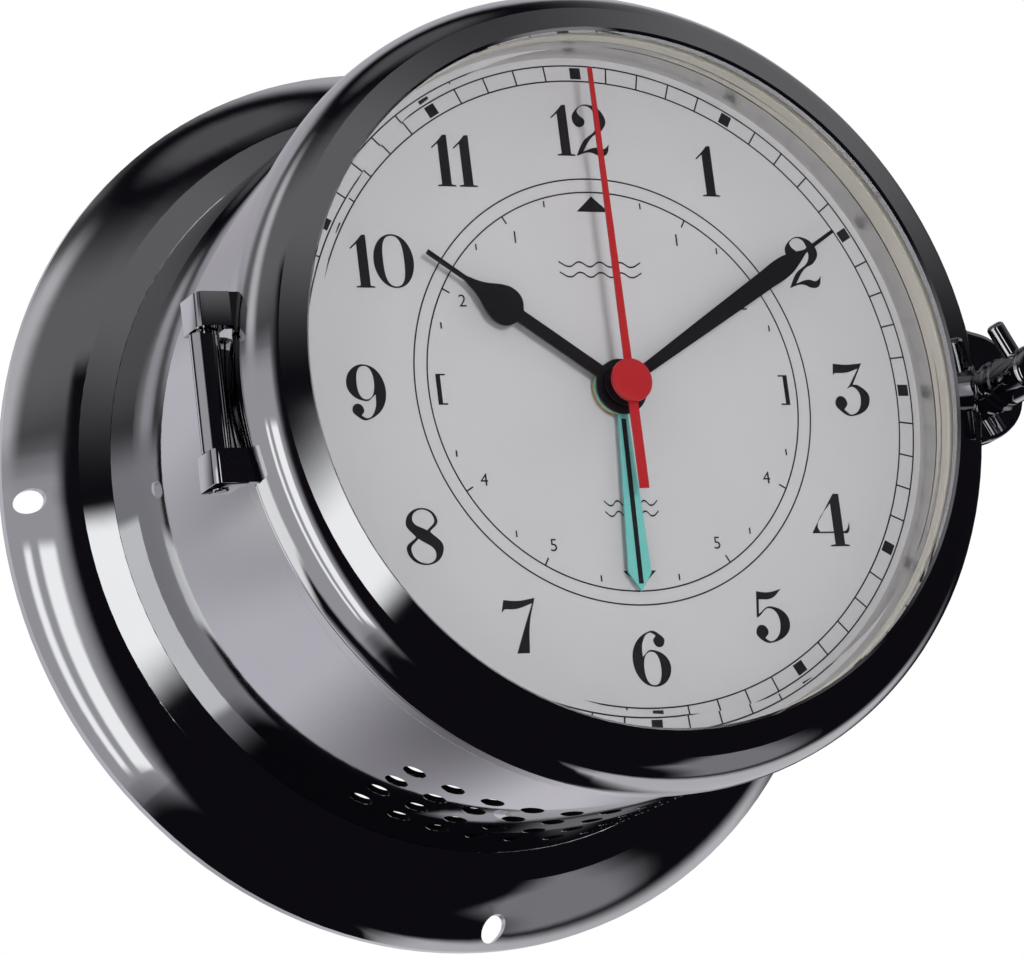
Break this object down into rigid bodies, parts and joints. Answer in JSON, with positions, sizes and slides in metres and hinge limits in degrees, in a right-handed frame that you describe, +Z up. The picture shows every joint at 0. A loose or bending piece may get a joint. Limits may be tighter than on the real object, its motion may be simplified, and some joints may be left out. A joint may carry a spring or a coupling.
{
  "type": "bulkhead tide clock",
  "caption": "Round wall clock with a tide hand, in a chromed drum case with a hinged glazed front, a tommy-bar closing screw and a flanged base.",
  "frame": {"origin": "centre of the base, in the plane of the wall", "axes": "+Z up to twelve o'clock, -Y out of the wall towards the viewer, -X to nine o'clock and the hinge"},
  "size_m": [0.18, 0.1007, 0.18],
  "materials": {
    "chrome_plate": "polished chrome plate on brass",
    "brass": "turned brass",
    "black_rubber": "matt rubber",
    "clear_glass": "clear bevelled glass",
    "silvered_ring": "silvered satin",
    "dial_paint": "satin silver-white lacquer",
    "steel": "bright steel",
    "black_plastic": "fine eroded black plastic",
    "battery_wrap": "plain printed sleeve",
    "turquoise_paint": "satin lacquer",
    "black_paint": "semi-gloss black lacquer",
    "red_paint": "semi-gloss red lacquer"
  },
  "bodies": {
    "case": {"base": "chrome_plate", "drum": "chrome_plate", "hinge_leaf": "chrome_plate", "hinge_pin": "chrome_plate", "latch_lug": "chrome_plate", "latch_bush": "brass", "dial": "dial_paint", "dial_feet": "brass", "dial_foot_spacers": "brass", "dial_screws": "steel", "rehaut": "silvered_ring", "movement_case": "black_plastic", "movement_cover": "black_plastic", "movement_pad": "black_rubber", "movement_bushing": "brass", "dial_nut": "brass", "battery": "battery_wrap", "battery_contacts": "steel"},
    "front": {"bezel": "chrome_plate", "bezel_gasket": "black_rubber", "glass": "clear_glass", "glass_seal": "black_rubber", "glass_ring": "silvered_ring"},
    "screw_carrier": {"latch_collar": "chrome_plate"},
    "closing_screw": {"latch_screw": "chrome_plate", "latch_bar": "chrome_plate"},
    "tide_indicator": {"tide_tube": "brass", "tide_hand": "turquoise_paint"},
    "hour_indicator": {"hour_tube": "brass", "hour_hand": "black_paint"},
    "minute_indicator": {"minute_tube": "brass", "minute_hand": "black_paint", "setting_knob": "black_plastic"},
    "second_indicator": {"second_arbor": "steel", "second_hand": "red_paint", "second_cap": "red_paint"}
  },
  "joints": [
    {"name": "front_hinge", "type": "hinge", "parent": "case", "child": "front", "pos_m": [-0.079, -0.0808, 0], "axis": [0, 0, -1], "range_deg": [0, 110]},
    {"name": "screw_rise", "type": "slide", "parent": "front", "child": "screw_carrier", "axis": [0, -1, 0], "range_m": [0, 0.0048]},
    {"name": "screw_turn", "type": "hinge", "parent": "screw_carrier", "child": "closing_screw", "pos_m": [0.081, -0.0959, 0], "axis": [0, -1, 0], "range_deg": [0, 2160]},
    {"name": "minute_turn", "type": "hinge", "parent": "case", "child": "minute_indicator", "pos_m": [0, -0.0876, 0], "axis": [0, 1, 0], "continuous": true},
    {"name": "hour_turn", "type": "hinge", "parent": "case", "child": "hour_indicator", "pos_m": [0, -0.0863, 0], "axis": [0, 1, 0], "continuous": true},
    {"name": "tide_turn", "type": "hinge", "parent": "case", "child": "tide_indicator", "pos_m": [0, -0.085, 0], "axis": [0, 1, 0], "continuous": true},
    {"name": "second_turn", "type": "hinge", "parent": "case", "child": "second_indicator", "pos_m": [0, -0.089, 0], "axis": [0, 1, 0], "continuous": true}
  ],
  "couplings": [
    {"joint": "screw_rise", "follows": "screw_turn", "m_per_rad": 0.00012732},
    {"joint": "hour_turn", "follows": "minute_turn", "ratio": 0.083333},
    {"joint": "tide_turn", "follows": "minute_turn", "ratio": 0.080515},
    {"joint": "second_turn", "follows": "minute_turn", "ratio": 60}
  ]
}
